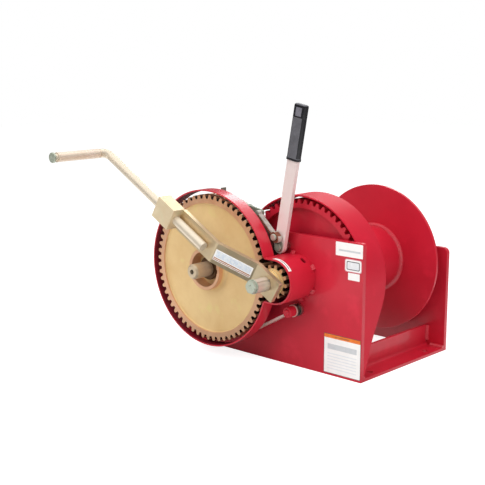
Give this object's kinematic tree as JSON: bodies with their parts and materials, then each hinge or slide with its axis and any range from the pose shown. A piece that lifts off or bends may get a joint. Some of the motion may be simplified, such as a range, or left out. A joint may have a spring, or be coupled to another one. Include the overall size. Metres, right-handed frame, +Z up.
{
  "type": "hand winch",
  "caption": "Two-stage spur-gear hand winch: red frame with flanged drum, guarded gears, sliding crank and a lever-worked band brake.",
  "frame": {"origin": "middle of the four base bolt holes, on the surface that the base rests on", "axes": "+X along the side plates towards the end with the drum gear guard, +Y from the crank side to the far side along the shafts, +Z up"},
  "size_m": [0.5828, 0.6235, 0.5411],
  "materials": {
    "red_paint": "gloss",
    "cast_gold": "yellow zinc on a machined casting",
    "crank_gold": "yellow zinc on steel",
    "zinc": "clear zinc",
    "bright_steel": "machined",
    "dark_steel": "dull",
    "grey_iron": "machined",
    "bronze": "plain bearing bronze",
    "lining": "woven friction lining",
    "black_vinyl": "dipped vinyl"
  },
  "bodies": {
    "base": {"near_side_plate": "red_paint", "far_side_plate": "red_paint", "right_base_angle": "red_paint", "left_base_angle": "red_paint", "frame_welds": "red_paint", "near_bushings": "bronze", "far_bushings": "bronze", "bearing_housing": "red_paint", "grease_fitting": "zinc", "gear_guard": "red_paint", "gear_guard_struts": "red_paint", "pinion_guard": "red_paint", "drum_gear_guard": "red_paint", "brake_band": "dark_steel", "brake_lining": "lining", "band_rivets": "bright_steel", "band_tab": "dark_steel", "band_tail": "zinc", "band_hinge": "zinc", "anchor_eye": "red_paint", "anchor_washer": "zinc", "anchor_nut": "zinc", "anchor_stud": "zinc", "lever_pivot_bolt": "zinc", "plate_spacers": "bright_steel"},
    "drum": {"drum_gear": "red_paint", "drum_barrel": "red_paint", "near_flange": "red_paint", "far_flange": "red_paint", "far_hub": "red_paint", "drum_bushings": "bronze", "drum_welds": "red_paint", "rope_clamp": "zinc", "rope_clamp_bolts": "zinc"},
    "intermediate": {"intermediate_shaft": "zinc", "front_gear": "cast_gold", "front_gear_key": "bright_steel", "hub_collar": "bright_steel", "brake_drum": "grey_iron", "rear_pinion": "cast_gold", "intermediate_end_collar": "zinc"},
    "crank": {"drive_shaft": "zinc", "drive_pinion": "cast_gold", "drive_end_collar": "zinc", "crank_key": "bright_steel", "crank_arm": "crank_gold", "clamp_block": "crank_gold", "clamp_set_screws": "dark_steel", "crank_washer": "zinc", "crank_bolt": "zinc"},
    "rod": {"crank_rod": "zinc", "grip_collar": "zinc", "grip_end_cap": "zinc"},
    "grip": {"grip_sleeve": "zinc"},
    "lever": {"brake_lever": "zinc", "lever_grip": "black_vinyl", "lever_cover": "dark_steel", "lever_boss": "dark_steel", "lever_pin": "zinc"},
    "strap": {"brake_strap": "dark_steel"}
  },
  "joints": [
    {"name": "drum_turn", "type": "hinge", "parent": "base", "child": "drum", "pos_m": [0.0494, 0, 0.1905], "axis": [0, 1, 0], "continuous": true},
    {"name": "intermediate_turn", "type": "hinge", "parent": "base", "child": "intermediate", "pos_m": [-0.13348, 0, 0.1905], "axis": [0, 1, 0], "continuous": true},
    {"name": "crank_turn", "type": "hinge", "parent": "base", "child": "crank", "pos_m": [0.0494, 0, 0.1905], "axis": [0, 1, 0], "continuous": true},
    {"name": "rod_slide", "type": "slide", "parent": "crank", "child": "rod", "axis": [-0.866, 0, 0.5], "range_m": [0, 0.09]},
    {"name": "grip_spin", "type": "hinge", "parent": "rod", "child": "grip", "pos_m": [-0.35677, 0, 0.425], "axis": [0, 1, 0], "continuous": true},
    {"name": "lever_swing", "type": "hinge", "parent": "base", "child": "lever", "pos_m": [0.0223, 0, 0.2498], "axis": [0, 1, 0], "range_deg": [-10, 14]},
    {"name": "strap_swing", "type": "hinge", "parent": "base", "child": "strap", "pos_m": [-0.02665, 0, 0.31559], "axis": [0, 1, 0], "range_deg": [-3.5, 2.5]}
  ],
  "couplings": [
    {"joint": "intermediate_turn", "follows": "drum_turn", "ratio": -5},
    {"joint": "crank_turn", "follows": "drum_turn", "ratio": 25},
    {"joint": "strap_swing", "follows": "lever_swing", "ratio": -0.245}
  ]
}
